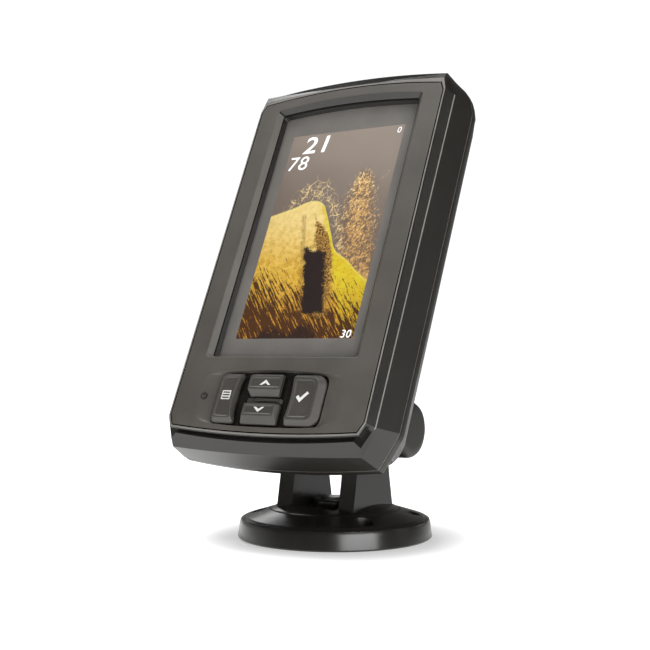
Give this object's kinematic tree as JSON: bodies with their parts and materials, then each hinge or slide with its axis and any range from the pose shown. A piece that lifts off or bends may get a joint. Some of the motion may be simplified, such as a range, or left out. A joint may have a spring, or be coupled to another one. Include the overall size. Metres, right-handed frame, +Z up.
{
  "type": "fish finder",
  "caption": "Portrait fish finder with a colour screen and push keys on a round tilt and swivel deck mount with a clamping knob.",
  "frame": {"origin": "centre of the mount's flat underside, on the swivel axis, where the mount meets the deck", "axes": "+Z up out of the deck along the swivel axis, screen facing -Y and tilted back, +X to the viewer's right"},
  "size_m": [0.0996, 0.0937, 0.1868],
  "materials": {
    "face_satin": "fine satin moulded plastic, warm dark grey",
    "case_black": "smooth semi-gloss black moulded plastic",
    "key_plastic": "soft satin dark grey key caps with pale printed symbols",
    "window_clear": "clear hard-coated window with a grey printed border",
    "lcd_glass": "colour display cell showing a sonar picture in amber tones",
    "diffuser_white": "white light diffusing film",
    "acrylic_clear": "clear polished acrylic",
    "rubber_black": "black silicone rubber",
    "rubber_grey": "grey silicone rubber",
    "board_green": "green solder-masked glass-fibre board",
    "steel": "bare stainless steel",
    "brass": "turned brass",
    "ferrite_black": "dark matt ferrite or moulded case",
    "foil_blue": "dark blue shrink sleeve",
    "nylon_white": "natural nylon",
    "ribbon_amber": "amber polyimide flex",
    "socket_black": "black glass-filled nylon",
    "mount_black": "semi-gloss black moulded nylon",
    "knob_rubber": "soft-touch dark rubber overmould"
  },
  "bodies": {
    "base": {"base_plate": "mount_black", "base_insert": "brass", "friction_ring": "nylon_white", "swivel_bolt": "steel", "swivel_washer": "steel"},
    "bracket": {"swivel_bracket": "mount_black", "tilt_bolt": "steel"},
    "head": {"front_housing": "case_black", "rear_housing": "case_black", "face_plate": "face_satin", "keypad_divider": "face_satin", "keypad_mat": "rubber_grey", "keypad_board": "board_green", "switch_menu_key": "steel", "switch_up_key": "steel", "switch_down_key": "steel", "switch_check_key": "steel", "display_window": "window_clear", "window_gasket": "rubber_black", "lcd_panel": "lcd_glass", "lcd_diffuser": "diffuser_white", "light_guide": "acrylic_clear", "lcd_tray": "steel", "main_board": "board_green", "processor_shield": "steel", "sonar_transformer": "ferrite_black", "power_capacitor": "foil_blue", "alarm_sounder": "ferrite_black", "socket_header": "nylon_white", "lcd_ribbon": "ribbon_amber", "housing_seal": "rubber_black", "power_socket": "socket_black", "transducer_socket": "socket_black", "case_screw_1": "steel", "case_screw_2": "steel", "case_screw_3": "steel", "case_screw_4": "steel", "case_screw_5": "steel", "case_screw_6": "steel", "tilt_washer_right": "nylon_white", "tilt_washer_left": "nylon_white"},
    "knob_washer": {"knob_washer": "steel"},
    "tilt_knob": {"tilt_knob": "knob_rubber", "knob_insert": "brass"},
    "menu_key": {"menu_key": "key_plastic"},
    "up_key": {"up_key": "key_plastic"},
    "down_key": {"down_key": "key_plastic"},
    "check_key": {"check_key": "key_plastic"}
  },
  "joints": [
    {"name": "swivel", "type": "hinge", "parent": "base", "child": "bracket", "pos_m": [0, 0, 0.0112], "axis": [0, 0, 1], "range_deg": [-180, 180]},
    {"name": "tilt", "type": "hinge", "parent": "bracket", "child": "head", "pos_m": [0, 0, 0.0436], "axis": [-1, 0, 0], "range_deg": [-26, 30]},
    {"name": "knob_travel", "type": "slide", "parent": "bracket", "child": "knob_washer", "axis": [1, 0, 0], "range_m": [0, 0.002]},
    {"name": "knob_turn", "type": "hinge", "parent": "knob_washer", "child": "tilt_knob", "pos_m": [0.026, 0, 0.0436], "axis": [1, 0, 0], "range_deg": [0, 720]},
    {"name": "menu_key_press", "type": "slide", "parent": "head", "child": "menu_key", "axis": [0, 0.9033, -0.4289], "range_m": [0, 0.0009], "stiffness_N_per_m": 600, "springref_m": -0.0003},
    {"name": "up_key_press", "type": "slide", "parent": "head", "child": "up_key", "axis": [0, 0.9033, -0.4289], "range_m": [0, 0.0009], "stiffness_N_per_m": 600, "springref_m": -0.0003},
    {"name": "down_key_press", "type": "slide", "parent": "head", "child": "down_key", "axis": [0, 0.9033, -0.4289], "range_m": [0, 0.0009], "stiffness_N_per_m": 600, "springref_m": -0.0003},
    {"name": "check_key_press", "type": "slide", "parent": "head", "child": "check_key", "axis": [0, 0.9033, -0.4289], "range_m": [0, 0.0009], "stiffness_N_per_m": 600, "springref_m": -0.0003}
  ],
  "couplings": [
    {"joint": "knob_turn", "follows": "knob_travel", "rad_per_m": 6283}
  ]
}
